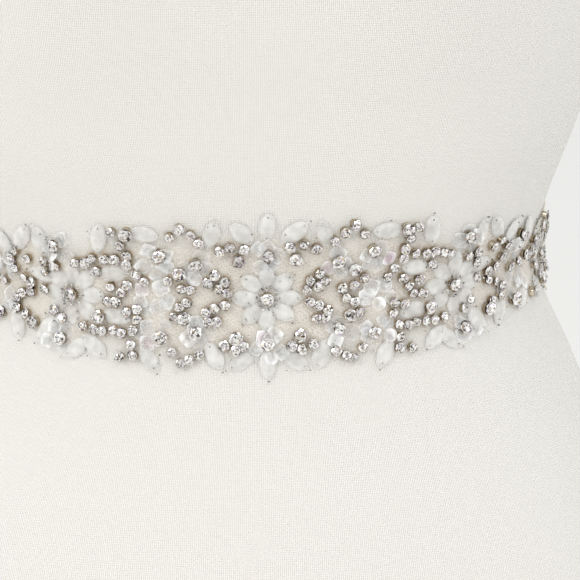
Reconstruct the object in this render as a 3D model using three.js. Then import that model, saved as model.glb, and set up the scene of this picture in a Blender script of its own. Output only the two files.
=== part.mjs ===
// A bridal sash, fastened round the waist of a tabletop dress form.
// Millimetres, +Z up. The front of the form faces -Y, and the origin is the
// centre of the underside of the base.
import * as THREE from "three";
import { mergeVertices } from "three/addons/utils/BufferGeometryUtils.js";

const { clamp, degToRad, lerp, radToDeg, smoothstep } = THREE.MathUtils;

// Driving sizes of the stand
const BASE_RADIUS = 135;
const BASE_HEIGHT = 16;
const BASE_EDGE_ROUND = 5;
const BASE_FOOT_BEVEL = 1;
const CAP_OVERHANG = 1.5;
const CAP_HEIGHT = 12;
const CAP_CROWN = 1;
const CAP_EDGE = { round: 5, roundEnd: 78, footBevel: 1 };
const CAP_SEAT_RADIUS = 16;
const FINIAL_RADIUS = 10;
const FINIAL_NECK_RADIUS = 5;
const FINIAL_NECK_HEIGHT = 3;
const FINIAL_HEIGHT = 24;
const FINIAL_BALL = { start: -60, end: 80, steps: 6 };
const SEAM_GAP = 0.3;
const JOIN_DISTANCE = 1e-4;
const ROUND_STEPS = 4;
const BASE_SEGMENTS = 40;
const POLE_SEGMENTS = 32;
const CAP_SEGMENTS = 32;
const FINIAL_SEGMENTS = 24;

// Driving sizes of the form
const WAIST_HEIGHT = 312;
const FORM_SEGMENTS = 44;
const WAIST_STEPS = 2000;
const BUST = {
  sideways: 82, level: 165, amount: 22, spreadSideways: 48, spreadUp: 48, roundingPower: 0.6,
};

// Driving sizes of the sash. "Along" runs round the waist from the centre
// front, positive towards +X, and "up" is the height over the waist line.
const SASH_GAP = 0.6;
const TULLE_WALL = 1.2;
const RIBBON_WALL = 1.0;
const RIBBON_WIDTH = 38;
const RIBBON_START = 150;
const RIBBON_LAP = 40;
const LAP_RISE = 16;
const RIBBON_COLUMN_STEP = 6;
const RIBBON_ROWS = 5;
const LAYER_GAP = 0.5;
const UPPER_LAYER_OFF = SASH_GAP + RIBBON_WALL + LAYER_GAP;
const APPLIQUE_REACH = 186;
const APPLIQUE_CENTRE_UP = 1;
const APPLIQUE_SIDE_HALF_HEIGHT = 18;
const APPLIQUE_EXTRA_HALF_HEIGHT = 10;
const APPLIQUE_SWELL_REACH = 72;
const APPLIQUE_SWELL_POWER = 2.4;
const APPLIQUE_END_ROUND = 17;
const APPLIQUE_END_HALF_HEIGHT = 7;
const LIFT_START = 132;
const LIFT_END = 147;
const EDGE_SPARE = 0.5;
const OUTER_ROWS = 26;
const INNER_ROWS = 6;
const EDGE_ROWS = 3;
const CLOSE_COLUMN_STEP = 2.1;
const OPEN_COLUMN_STEP = 3.2;
const CLOSE_COLUMN_REACH = 122;

// Driving sizes of the beading that stands up from the tulle
const BEAD_ROUNDING_POWER = 0.75;
const PETAL = { length: 12.5, width: 7.1, rise: 2.6 };
const DAISY = { petals: 8, petalOut: 8.1, petalLength: 10.8, stone: { radius: 3.4, rise: 2.8 } };
const SMALL_DAISY = { petals: 6, petalOut: 7.2, petalLength: 10.8, stone: { radius: 3, rise: 2.6 } };
const STONE_ROW = { halfWidth: 3, rise: 2.4 };
const LARGE_STONE = { radius: 3.6, rise: 3 };
const SEQUIN_FLOWER = { radius: 7.2, rise: 1.5, lobes: 5, lobeDepth: 0.18 };

const columns = (names, rows) => rows.map((row) => (
  Object.fromEntries(names.map((name, i) => [name, row[i]]))));

// Outlines of the pole, at its foot over the base and at its head under the form
const POLE_FOOT = columns(["radius", "above"], [[24, 0], [24, 4], [15.5, 9], [12.5, 16]]);
const POLE_HEAD = columns(["radius", "below"], [[12.5, 16], [32, 8], [46, 5], [46, 0]]);

// Cross-sections of the form. The level is over the waist line.
const FORM_SECTIONS = columns(["level", "halfWidth", "front", "back", "squareness"], [
  [-222, 164, 96, 104, 2.35],
  [-190, 172, 103, 112, 2.3],
  [-140, 169, 103, 108, 2.3],
  [-90, 154, 99, 95, 2.3],
  [-48, 136, 93.5, 85, 2.3],
  [0, 118, 88, 80, 2.3],
  [63, 136, 97, 88, 2.3],
  [105, 145, 104, 95, 2.3],
  [165, 152, 110, 101, 2.3],
  [215, 156, 105, 103, 2.3],
  [265, 166, 91, 98, 2.4],
  [310, 177, 73, 86, 2.5],
  [345, 172, 60, 72, 2.45],
  [365, 140, 54, 64, 2.25],
  [382, 100, 52, 59, 2.1],
  [396, 71, 52, 56, 2],
  [412, 60, 51, 54, 2],
  [440, 57, 51, 53, 2],
]);

// Levels of the form's rings, close together at the waist and the shoulders
const RING_STRETCHES = columns(["from", "to", "rings"], [
  [-222, -190, 1],
  [-190, -56, 5],
  [-56, 56, 14],
  [56, 280, 8],
  [280, 360, 4],
  [360, 412, 5],
  [412, 440, 1],
]);

// Daisies on the right half and the centre line
const DAISIES = columns(["along", "up"], [[0, 0], [75, 0]]);
const SMALL_DAISIES = columns(["along", "up"], [[139, 0]]);

// Single petals of the right half and the centre line; turn is in degrees
const PETALS = columns(["along", "up", "turn"], [
  [0, 28.5, 90],
  [0, -26, 90],
  [9.5, 26, 42],
  [20.5, 25.5, 108],
  [9.5, -24.5, -38],
  [19.5, -22.5, 65],
  [44.5, 25.5, 5],
  [43, -23.5, 58],
  [62, 23.5, 102],
  [64, -19.5, 40],
  [57.5, 9.5, 0],
  [57, -8, 8],
  [86, 20, 80],
  [93.5, 20.5, 125],
  [87, 6.5, 10],
  [70, -21, 140],
  [84, -15.5, 120],
  [97, -14.5, 60],
  [104, 17.5, 60],
  [118, 15.5, 120],
  [113, -12.5, 30],
  [130, 13, 35],
  [131, -11, 150],
  [148, 12, 150],
  [149, -10.5, 30],
  [160, 4, 20],
  [160, -6, -20],
  [169, 12, 100],
  [170, -10, 80],
  [178, 1, 0],
]);

// Large single stones of the right half and the centre line
const LARGE_STONES = columns(["along", "up"], [
  [0, 17.3],
  [0, -18.4],
  [10, 15.4],
  [12.5, 20],
  [11.8, -15.6],
  [12, -19.6],
  [26.5, 13.8],
  [26.5, -13.4],
  [63.5, -8],
  [79, 19.4],
  [77.2, -18.2],
  [84, 10.8],
  [79, -9.8],
  [112.5, 14.9],
  [106, 2.3],
  [107, -11.7],
  [117.8, 5],
  [123.4, -12.6],
]);

// Flowers of thin sequins of the right half and the centre line
const SEQUIN_FLOWERS = columns(["along", "up"], [
  [0, 17],
  [0, -19],
  [26.5, 13],
  [26.5, -14],
  [42, 15],
  [43, 0.5],
  [42.5, -14],
  [79, 18],
  [78, -17],
  [105, 9],
  [103, -6],
  [150, 1],
]);

// Rows of small stones of the right half, each a route through its stones that gives
// places along the sash and up it
const STONE_ROWS = {
  "c scroll": [[20, 9], [15.5, 7.5], [15.3, 3], [15.9, -2], [18.4, -8], [22, -8.4]],
  "s scroll": [[36.8, 7], [32.8, 9.5], [30, 4], [31, -1.5], [32, -7.8], [35.3, -6.8]],
  "upper arch": [[25, 22.3], [31.5, 28], [36, 24.6], [40, 17.5]],
  "lower arch": [[25, -21.4], [31.3, -24.7], [34.8, -20.6], [39.5, -15]],
  "upper branch": [[56, 26], [51, 25.6], [52.3, 19], [57, 15.2], [65, 15], [72, 13.3]],
  "upper hook": [[55, 15], [46, 6], [53, 5.5], [55.5, 2], [60, -1.5]],
  "lower hook": [[54, -5], [49, -5], [48.4, -9], [51, -13], [61, -13], [69, -12.2]],
  "lower branch": [[51, -13], [49.5, -22.5], [54.3, -22.7]],
  "outer curl": [[92.5, 12.7], [98, 15], [101, 10], [96, 4.6], [86.5, 1.2]],
  "outer hook": [[92, -1], [99.5, -4.6], [98, -9], [90, -12.8]],
  "side curl": [[138, 17], [130, 9], [123, 6.5], [129.5, -2.5], [138, -11]],
  "end curl": [[147, 9], [154, 8], [155, 0], [154, -8], [147, -8]],
};

// Smooth curve through table rows, level with its neighbours at each row
function throughRows(level, name) {
  const rows = FORM_SECTIONS;
  const slope = (i) => {
    const low = rows[Math.max(i - 1, 0)];
    const high = rows[Math.min(i + 1, rows.length - 1)];
    return (high[name] - low[name]) / (high.level - low.level);
  };
  let i = 0;
  while (i < rows.length - 2 && level > rows[i + 1].level) i += 1;
  const span = rows[i + 1].level - rows[i].level;
  const q = clamp((level - rows[i].level) / span, 0, 1);
  const p = 1 - q;
  return (1 + 2 * q) * p * p * rows[i][name] + q * p * p * span * slope(i)
    + q * q * (3 - 2 * q) * rows[i + 1][name] - q * q * p * span * slope(i + 1);
}

// Point of the form's surface; the turn is 0 at the front and grows towards +X
function formPoint(turn, level) {
  const power = 2 / throughRows(level, "squareness");
  const sine = Math.sin(turn);
  const cosine = Math.cos(turn);
  const x = throughRows(level, "halfWidth") * Math.sign(sine) * Math.abs(sine) ** power;
  const depth = Math.abs(cosine) ** power;
  if (cosine < 0) return new THREE.Vector3(x, throughRows(level, "back") * depth, WAIST_HEIGHT + level);
  const bell = (offset, spread) => Math.exp(-((offset / spread) ** 2) / 2);
  const swell = bell(level - BUST.level, BUST.spreadUp)
    * (bell(x - BUST.sideways, BUST.spreadSideways) + bell(x + BUST.sideways, BUST.spreadSideways));
  const y = -throughRows(level, "front") * depth - BUST.amount * swell * cosine ** BUST.roundingPower;
  return new THREE.Vector3(x, y, WAIST_HEIGHT + level);
}

function formNormal(turn, level) {
  const turnStep = 1e-4;
  const levelStep = 0.05;
  const round = formPoint(turn + turnStep, level).sub(formPoint(turn - turnStep, level));
  const up = formPoint(turn, level + levelStep).sub(formPoint(turn, level - levelStep));
  return round.cross(up).normalize();
}

// Length round the waist from the centre front, for turns from 0 to half way round
const WAIST_LENGTHS = [0];
for (let i = 1, last = formPoint(0, 0); i <= WAIST_STEPS; i += 1) {
  const next = formPoint((Math.PI * i) / WAIST_STEPS, 0);
  WAIST_LENGTHS.push(WAIST_LENGTHS[i - 1] + next.distanceTo(last));
  last = next;
}
const HALF_WAIST = WAIST_LENGTHS[WAIST_STEPS];

function turnAt(along) {
  const length = Math.abs(along);
  if (length > HALF_WAIST) return Math.sign(along) * (2 * Math.PI - turnAt(2 * HALF_WAIST - length));
  let low = 0;
  let high = WAIST_STEPS;
  while (high - low > 1) {
    const middle = (low + high) >> 1;
    if (WAIST_LENGTHS[middle] <= length) low = middle;
    else high = middle;
  }
  const share = (length - WAIST_LENGTHS[low]) / (WAIST_LENGTHS[high] - WAIST_LENGTHS[low]);
  return (Math.sign(along) * Math.PI * (low + share)) / WAIST_STEPS;
}

// Point of the sash at a distance off the form's surface
function sashPoint(along, up, off) {
  const turn = turnAt(along);
  return formPoint(turn, up).addScaledVector(formNormal(turn, up), off);
}

// Closed surface from points and the triangles between them
class Surface {
  constructor() {
    this.points = [];
    this.triangles = [];
  }

  addPoint(point) {
    this.points.push(point.x, point.y, point.z);
    return this.points.length / 3 - 1;
  }

  addTriangle(a, b, c) {
    this.triangles.push(a, b, c);
  }

  addQuad(a, b, c, d) {
    this.addTriangle(a, b, c);
    this.addTriangle(a, c, d);
  }

  // Closes the strip between two chains that run the same way
  addStrip(first, second) {
    let i = 0;
    let j = 0;
    while (i < first.length - 1 || j < second.length - 1) {
      const firstShare = (i + 1) / (first.length - 1);
      const secondShare = (j + 1) / (second.length - 1);
      if (j === second.length - 1 || (i < first.length - 1 && firstShare <= secondShare)) {
        this.addTriangle(first[i], second[j], first[i + 1]);
        i += 1;
      } else {
        this.addTriangle(first[i], second[j], second[j + 1]);
        j += 1;
      }
    }
  }

  geometry() {
    const geometry = new THREE.BufferGeometry();
    geometry.setAttribute("position", new THREE.Float32BufferAttribute(this.points, 3));
    geometry.setIndex(this.triangles);
    geometry.computeVertexNormals();
    return geometry;
  }
}

// Wall of cloth between an outer and an inner face. Both are given as a point for
// each column and row, and the inner face may have fewer rows.
function clothWall(columnCount, outerRows, innerRows, outerPoint, innerPoint) {
  const surface = new Surface();
  const grid = (rows, point) => Array.from({ length: columnCount + 1 }, (_, column) => (
    Array.from({ length: rows + 1 }, (__, row) => surface.addPoint(point(column, row / rows)))));
  const outer = grid(outerRows, outerPoint);
  const inner = grid(innerRows, innerPoint);
  for (let column = 0; column < columnCount; column += 1) {
    for (let row = 0; row < outerRows; row += 1) {
      const [left, right] = [outer[column], outer[column + 1]];
      surface.addQuad(left[row], right[row], right[row + 1], left[row + 1]);
    }
    for (let row = 0; row < innerRows; row += 1) {
      const [left, right] = [inner[column], inner[column + 1]];
      surface.addQuad(left[row], left[row + 1], right[row + 1], right[row]);
    }
  }
  const edge = (face, rows, top) => face.map((column) => column[top ? rows : 0]);
  surface.addStrip(edge(inner, innerRows, true), edge(outer, outerRows, true));
  surface.addStrip(edge(outer, outerRows, false), edge(inner, innerRows, false));
  surface.addStrip(inner[0], outer[0]);
  surface.addStrip(outer[columnCount], inner[columnCount]);
  return surface.geometry();
}

// What stands up from the tulle: each feature has a centre, a reach that holds it
// all, and its height at a place given from its centre
const dome = (squaredShare) => Math.max(0, 1 - squaredShare) ** BEAD_ROUNDING_POWER;

function petalFeature({ along, up, turn, length = PETAL.length }) {
  const angle = degToRad(turn);
  const [cosine, sine] = [Math.cos(angle), Math.sin(angle)];
  const height = (x, y) => {
    const lengthwise = (2 * (x * cosine + y * sine)) / length;
    const crosswise = (2 * (y * cosine - x * sine)) / PETAL.width;
    return PETAL.rise * dome(lengthwise ** 2 + crosswise ** 2);
  };
  return { along, up, angle, reach: length / 2, height };
}

function stoneFeature({ along, up }, { radius, rise }) {
  return { along, up, reach: radius, height: (x, y) => rise * dome((x * x + y * y) / radius ** 2) };
}

function sequinFeature({ along, up }) {
  const { radius, rise, lobes, lobeDepth } = SEQUIN_FLOWER;
  const height = (x, y) => {
    const rim = radius * (1 - lobeDepth * (1 - Math.cos(lobes * Math.atan2(y, x))) / 2);
    return rise * dome((x * x + y * y) / rim ** 2);
  };
  return { along, up, reach: radius, height };
}

function stoneRowFeature(route) {
  const [along, up] = route[0];
  const stretches = route.slice(1).map((end, i) => [route[i], end]);
  const height = (x, y) => {
    const away = (stretch) => {
      const [[ax, ay], [bx, by]] = stretch;
      const [px, py] = [x + along - ax, y + up - ay];
      const [dx, dy] = [bx - ax, by - ay];
      const share = clamp((px * dx + py * dy) / (dx * dx + dy * dy), 0, 1);
      return Math.hypot(px - share * dx, py - share * dy);
    };
    const nearest = Math.min(...stretches.map(away));
    return STONE_ROW.rise * dome((nearest / STONE_ROW.halfWidth) ** 2);
  };
  const reach = STONE_ROW.halfWidth + Math.max(...route.map(([x, y]) => Math.hypot(x - along, y - up)));
  return { along, up, reach, height };
}

// The petals of a daisy, as rows like those of the table of petals
function daisyPetals({ along, up }, { petals, petalOut, petalLength }) {
  return Array.from({ length: petals }, (_, i) => {
    const angle = (2 * Math.PI * i) / petals;
    return {
      along: along + petalOut * Math.cos(angle),
      up: up + petalOut * Math.sin(angle),
      turn: radToDeg(angle),
      length: petalLength,
    };
  });
}

// Each row with its twin on the left half; a row on the centre line has none
const bothSides = (rows) => rows.flatMap((row) => (
  row.along === 0 ? [row] : [row, { ...row, along: -row.along, turn: 180 - (row.turn ?? 0) }]));
const mirroredRoute = (route) => route.map(([along, up]) => [-along, up]);

const ALL_PETALS = bothSides([
  ...PETALS,
  ...DAISIES.flatMap((daisy) => daisyPetals(daisy, DAISY)),
  ...SMALL_DAISIES.flatMap((daisy) => daisyPetals(daisy, SMALL_DAISY)),
]).map(petalFeature);

const FEATURES = [
  ...ALL_PETALS,
  ...bothSides(DAISIES).map((row) => stoneFeature(row, DAISY.stone)),
  ...bothSides(SMALL_DAISIES).map((row) => stoneFeature(row, SMALL_DAISY.stone)),
  ...bothSides(LARGE_STONES).map((row) => stoneFeature(row, LARGE_STONE)),
  ...bothSides(SEQUIN_FLOWERS).map(sequinFeature),
  ...Object.values(STONE_ROWS).flatMap((route) => [route, mirroredRoute(route)]).map(stoneRowFeature),
];

function reliefAt(along, up) {
  const rises = FEATURES.map((feature) => {
    const [x, y] = [along - feature.along, up - feature.up];
    return Math.hypot(x, y) < feature.reach ? feature.height(x, y) : 0;
  });
  return Math.max(...rises);
}

// Highest or lowest edge of a petal over a place along the sash, or null beside it
function petalEdge({ along: centreAlong, up, angle, reach }, along, sign) {
  const [cosine, sine] = [Math.cos(angle), Math.sin(angle)];
  const [a, b] = [reach + EDGE_SPARE, PETAL.width / 2 + EDGE_SPARE];
  const x = along - centreAlong;
  const xx = (cosine / a) ** 2 + (sine / b) ** 2;
  const xy = 2 * sine * cosine * (1 / a ** 2 - 1 / b ** 2);
  const yy = (sine / a) ** 2 + (cosine / b) ** 2;
  const root = (xy * x) ** 2 - 4 * yy * (xx * x * x - 1);
  return root < 0 ? null : up + (-xy * x + sign * Math.sqrt(root)) / (2 * yy);
}

// Upper (sign 1) or lower (sign -1) edge of the tulle at a place along the sash,
// plain or with the petals that reach past it
function tulleEdge(along, sign) {
  const away = Math.abs(along);
  const swell = Math.exp(-((away / APPLIQUE_SWELL_REACH) ** APPLIQUE_SWELL_POWER));
  const full = APPLIQUE_SIDE_HALF_HEIGHT + APPLIQUE_EXTRA_HALF_HEIGHT * swell;
  const intoEnd = clamp((away - APPLIQUE_REACH) / APPLIQUE_END_ROUND + 1, 0, 1);
  const rounding = Math.sqrt(1 - intoEnd ** 2);
  return APPLIQUE_CENTRE_UP + sign * lerp(APPLIQUE_END_HALF_HEIGHT, full, rounding);
}

function petalledEdge(along, sign) {
  const edges = ALL_PETALS.map((petal) => petalEdge(petal, along, sign)).filter((edge) => edge !== null);
  return sign * Math.max(sign * tulleEdge(along, sign), ...edges.map((edge) => sign * edge));
}

function appliqueColumns() {
  const half = [];
  for (let along = 0; along < CLOSE_COLUMN_REACH; along += CLOSE_COLUMN_STEP) half.push(along);
  const openCount = Math.round((APPLIQUE_REACH - CLOSE_COLUMN_REACH) / OPEN_COLUMN_STEP);
  for (let i = 0; i <= openCount; i += 1) {
    half.push(lerp(CLOSE_COLUMN_REACH, APPLIQUE_REACH, i / openCount));
  }
  return [...half.slice(1).reverse().map((along) => -along), ...half];
}

function applique() {
  const places = appliqueColumns();
  const bottoms = places.map((along) => petalledEdge(along, -1));
  const tops = places.map((along) => petalledEdge(along, 1));
  const innerOff = (along) => lerp(
    SASH_GAP, UPPER_LAYER_OFF, smoothstep(Math.abs(along), LIFT_START, LIFT_END));
  // Even rows between the plain edges, drawn out to the petals in the outermost rows
  const upAt = (column, share) => {
    const along = places[column];
    const even = lerp(tulleEdge(along, -1), tulleEdge(along, 1), share);
    const rowsIn = OUTER_ROWS * Math.min(share, 1 - share);
    const pull = Math.max(0, 1 - rowsIn / EDGE_ROWS);
    return lerp(even, share < 0.5 ? bottoms[column] : tops[column], pull);
  };
  const innerPoint = (column, share) => (
    sashPoint(places[column], upAt(column, share), innerOff(places[column])));
  const outerPoint = (column, share) => {
    const [along, up] = [places[column], upAt(column, share)];
    return sashPoint(along, up, innerOff(along) + TULLE_WALL + reliefAt(along, up));
  };
  return clothWall(places.length - 1, OUTER_ROWS, INNER_ROWS, outerPoint, innerPoint);
}

// Ribbon from under the applique's end to past the centre back, for side 1 or -1.
// The right ribbon lies over the left one where they lap.
function ribbon(side) {
  const end = HALF_WAIST + RIBBON_LAP / 2;
  const count = Math.round((end - RIBBON_START) / RIBBON_COLUMN_STEP);
  const lapStart = HALF_WAIST - RIBBON_LAP / 2;
  const innerOff = (along) => (side < 0 ? SASH_GAP
    : lerp(SASH_GAP, UPPER_LAYER_OFF, smoothstep(along, lapStart - LAP_RISE, lapStart - LAYER_GAP)));
  const point = (column, share, wall) => {
    const step = side < 0 ? count - column : column;
    const along = lerp(RIBBON_START, end, step / count);
    return sashPoint(side * along, RIBBON_WIDTH * (share - 0.5), innerOff(along) + wall);
  };
  return clothWall(count, RIBBON_ROWS, RIBBON_ROWS,
    (column, share) => point(column, share, RIBBON_WALL), (column, share) => point(column, share, 0));
}

// The form: a closed skin through rings, with a flat floor and a flat neck
function form() {
  const surface = new Surface();
  const levels = [FORM_SECTIONS[0].level];
  for (const { from, to, rings } of RING_STRETCHES) {
    for (let i = 1; i <= rings; i += 1) levels.push(lerp(from, to, i / rings));
  }
  const turns = Array.from({ length: FORM_SEGMENTS }, (_, i) => (
    turnAt(HALF_WAIST * ((2 * i) / FORM_SEGMENTS - 1))));
  const rings = levels.map((level) => turns.map((turn) => surface.addPoint(formPoint(turn, level))));
  for (let ring = 0; ring < rings.length - 1; ring += 1) {
    for (let i = 0; i < FORM_SEGMENTS; i += 1) {
      const next = (i + 1) % FORM_SEGMENTS;
      surface.addQuad(rings[ring][i], rings[ring][next], rings[ring + 1][next], rings[ring + 1][i]);
    }
  }
  const floor = surface.addPoint(new THREE.Vector3(0, 0, WAIST_HEIGHT + levels[0]));
  const neck = surface.addPoint(new THREE.Vector3(0, 0, WAIST_HEIGHT + levels.at(-1)));
  for (let i = 0; i < FORM_SEGMENTS; i += 1) {
    const next = (i + 1) % FORM_SEGMENTS;
    surface.addTriangle(floor, rings[0][next], rings[0][i]);
    surface.addTriangle(neck, rings.at(-1)[i], rings.at(-1)[next]);
  }
  return surface.geometry();
}

// Turned piece round the Z axis, from its outline of [radius, height] points
function turned(outline, segments) {
  const geometry = new THREE.LatheGeometry(outline.map(([r, z]) => new THREE.Vector2(r, z)), segments);
  return geometry.rotateX(Math.PI / 2);
}

// Round on an outline, from the start angle to the end angle in degrees
function roundCorner(centreRadius, centreHeight, radius, start, end, steps = ROUND_STEPS) {
  return Array.from({ length: steps + 1 }, (_, i) => {
    const angle = degToRad(lerp(start, end, i / steps));
    return [centreRadius + radius * Math.cos(angle), centreHeight + radius * Math.sin(angle)];
  });
}

const FORM_FLOOR = WAIST_HEIGHT + FORM_SECTIONS[0].level;
const NECK = FORM_SECTIONS.at(-1);
const NECK_TOP = WAIST_HEIGHT + NECK.level;
const NECK_MIDDLE = (NECK.back - NECK.front) / 2;

function base() {
  const inner = BASE_RADIUS - BASE_EDGE_ROUND;
  return turned([
    [0, 0],
    [BASE_RADIUS - BASE_FOOT_BEVEL, 0],
    [BASE_RADIUS, BASE_FOOT_BEVEL],
    ...roundCorner(inner, BASE_HEIGHT - BASE_EDGE_ROUND, BASE_EDGE_ROUND, 0, 90),
    [0, BASE_HEIGHT],
  ], BASE_SEGMENTS);
}

function pole() {
  const low = BASE_HEIGHT + SEAM_GAP;
  const high = FORM_FLOOR - SEAM_GAP;
  return turned([
    [0, low],
    ...POLE_FOOT.map(({ radius, above }) => [radius, low + above]),
    ...POLE_HEAD.map(({ radius, below }) => [radius, high - below]),
    [0, high],
  ], POLE_SEGMENTS);
}

// Oval cap over the neck, turned round and then drawn in from front to back
function neckCap() {
  const radius = NECK.halfWidth + CAP_OVERHANG;
  const depth = (NECK.front + NECK.back) / 2 + CAP_OVERHANG;
  const { round, roundEnd, footBevel } = CAP_EDGE;
  const geometry = turned([
    [0, 0],
    [radius - footBevel, 0],
    [radius, footBevel],
    ...roundCorner(radius - round, CAP_HEIGHT - CAP_CROWN - round, round, 0, roundEnd),
    [CAP_SEAT_RADIUS, CAP_HEIGHT],
    [0, CAP_HEIGHT],
  ], CAP_SEGMENTS);
  geometry.scale(1, depth / radius, 1);
  return geometry.translate(0, NECK_MIDDLE, NECK_TOP + SEAM_GAP);
}

function finial() {
  const { start, end, steps } = FINIAL_BALL;
  const geometry = turned([
    [0, 0],
    [FINIAL_RADIUS, 0],
    [FINIAL_NECK_RADIUS, FINIAL_NECK_HEIGHT],
    ...roundCorner(0, FINIAL_HEIGHT - FINIAL_RADIUS, FINIAL_RADIUS, start, end, steps),
    [0, FINIAL_HEIGHT],
  ], FINIAL_SEGMENTS);
  return geometry.translate(0, NECK_MIDDLE, NECK_TOP + CAP_HEIGHT + 2 * SEAM_GAP);
}

const jersey = new THREE.MeshStandardMaterial({ color: 0xe9e6df, roughness: 0.95 });
const wood = new THREE.MeshStandardMaterial({ color: 0xc9ab84, roughness: 0.55 });
const beadedTulle = new THREE.MeshStandardMaterial({ color: 0xd8d0c6, roughness: 0.4, metalness: 0.1 });
const satin = new THREE.MeshStandardMaterial({ color: 0xefe9dc, roughness: 0.35 });

// Turned pieces carry their seam and the points on the axis more than once, so
// points that meet are joined, and the triangles that this flattens are left out
function closed(geometry) {
  geometry.deleteAttribute("normal");
  geometry.deleteAttribute("uv");
  const joined = mergeVertices(geometry, JOIN_DISTANCE);
  const [kept, index] = [[], joined.index.array];
  for (let i = 0; i < index.length; i += 3) {
    const [a, b, c] = index.slice(i, i + 3);
    if (a !== b && b !== c && c !== a) kept.push(a, b, c);
  }
  joined.setIndex(kept);
  joined.computeVertexNormals();
  return joined;
}

function piece(name, geometry, material) {
  const mesh = new THREE.Mesh(closed(geometry), material);
  mesh.name = name;
  return mesh;
}

const sashOnForm = new THREE.Group();
sashOnForm.add(
  piece("applique", applique(), beadedTulle),
  piece("ribbon_left", ribbon(-1), satin),
  piece("ribbon_right", ribbon(1), satin),
  piece("form", form(), jersey),
  piece("neck_cap", neckCap(), wood),
  piece("finial", finial(), wood),
  piece("pole", pole(), wood),
  piece("base", base(), wood),
);

export default sashOnForm;
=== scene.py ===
import math

import bpy
import numpy as np
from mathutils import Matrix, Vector


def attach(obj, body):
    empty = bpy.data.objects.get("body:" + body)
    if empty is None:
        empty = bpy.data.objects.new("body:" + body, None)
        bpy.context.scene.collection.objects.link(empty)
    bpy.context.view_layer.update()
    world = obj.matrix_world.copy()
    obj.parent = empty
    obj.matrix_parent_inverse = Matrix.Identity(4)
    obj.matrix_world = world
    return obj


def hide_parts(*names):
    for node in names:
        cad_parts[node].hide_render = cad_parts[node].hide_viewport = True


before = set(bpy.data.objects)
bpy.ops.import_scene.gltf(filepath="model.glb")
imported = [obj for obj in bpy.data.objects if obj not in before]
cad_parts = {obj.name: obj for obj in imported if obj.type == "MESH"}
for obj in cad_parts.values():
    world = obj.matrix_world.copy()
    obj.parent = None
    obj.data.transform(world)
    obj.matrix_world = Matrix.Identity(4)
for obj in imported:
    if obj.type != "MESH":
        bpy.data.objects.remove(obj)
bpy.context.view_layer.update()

MM = 0.001

# Sizes of the form
WAIST_HEIGHT = 312
COVER_OFF = 0.3
COVER_WALL = 0.8
COVER_COLUMNS = 180
COVER_ROWS = 200
HEM_TURN = 22
HEM_DRAWN_IN = 130
HEM_EDGE_ROUND = 5
BUST = {"sideways": 82, "level": 165, "amount": 22, "spread_sideways": 48, "spread_up": 48}

# Sizes of the stand and the form's floor board
BASE_RADIUS = 135
BASE_HEIGHT = 16
BASE_EDGE = 5
CAP_OVERHANG = 1.5
CAP_HEIGHT = 12
SEAM_GAP = 0.3
POLE_RADIUS = 12.5
POLE_FOOT_RADIUS = 24
FLANGE_RADIUS = 46
FLOOR_BOARD = {"share": 0.97, "over_hem": 0.5, "thick": 5}
ROUND_CORNERS = 96

# Sizes of the sash
TULLE_OFF = 0.9
TULLE_WALL = 0.25
TULLE_COLUMNS = 320
TULLE_ROWS = 40
TULLE_HALF_HEIGHT = 33
BEADS_OFF = 1.25
RIBBON_OFF = 0.6
RIBBON_WALL = 0.9
RIBBON_WIDTH = 38
RIBBON_COLUMNS = 150
RIBBON_ROWS = 24
RIBBON_START = 150
RIBBON_LAP = 40
LAP_RISE = 16
UPPER_LAYER_LIFT = 1.5
LIFT_START = 132
LIFT_END = 147
APPLIQUE_REACH = 186
APPLIQUE_CENTRE_UP = 1
APPLIQUE_SIDE_HALF_HEIGHT = 18
APPLIQUE_EXTRA_HALF_HEIGHT = 10
APPLIQUE_SWELL_REACH = 72
APPLIQUE_SWELL_POWER = 2.4
APPLIQUE_END_ROUND = 17
APPLIQUE_END_HALF_HEIGHT = 7
EDGE_SPARE = 0.1
# Reach of the painted shade on the net round the stones
STONE_SHADE = (1.3, 3.0)

# Sizes of the beading
PETAL_LENGTH = 12
PETAL_WIDTH = 6.7
PETAL_THICK = 1.5
DAISY_PETAL_SHARE = (0.86, 0.98)
DAISY_PETALS = 8
DAISY_PETAL_OUT = 8.1
SMALL_DAISY_PETALS = 6
SMALL_DAISY_PETAL_OUT = 7.2
SEEDS_ROUND_DAISY = 9
SMALL_STONE = 4.3
LARGE_STONE = 5.65
CUP_HEIGHT = 0.38
SEED_BEAD = 1.5
SEQUIN = 6.1
THREAD_THICK = 0.16
TIP_HOLE_SHARE = 0.72
TIP_STITCH_SHARE = 0.92

draw = np.random.default_rng(11)


def columns(names, rows):
    """Table with a name for each column."""
    return [dict(zip(names, row)) for row in rows]


FORM_SECTIONS = np.array(
    [  # level over the waist, half width, front, back, squareness
        (-222, 164, 96, 104, 2.35),
        (-190, 172, 103, 112, 2.3),
        (-140, 169, 103, 108, 2.3),
        (-90, 154, 99, 95, 2.3),
        (-48, 136, 93.5, 85, 2.3),
        (0, 118, 88, 80, 2.3),
        (63, 136, 97, 88, 2.3),
        (105, 145, 104, 95, 2.3),
        (165, 152, 110, 101, 2.3),
        (215, 156, 105, 103, 2.3),
        (265, 166, 91, 98, 2.4),
        (310, 177, 73, 86, 2.5),
        (345, 172, 60, 72, 2.45),
        (365, 140, 54, 64, 2.25),
        (382, 100, 52, 59, 2.1),
        (396, 71, 52, 56, 2),
        (412, 60, 51, 54, 2),
        (440, 57, 51, 53, 2),
    ],
    float,
)
LOW_LEVEL, HIGH_LEVEL = FORM_SECTIONS[0, 0], FORM_SECTIONS[-1, 0]

# Daisies of the right half and the centre line
DAISIES = [(0, 0), (75, 0)]
SMALL_DAISIES = [(139, 0)]

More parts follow.
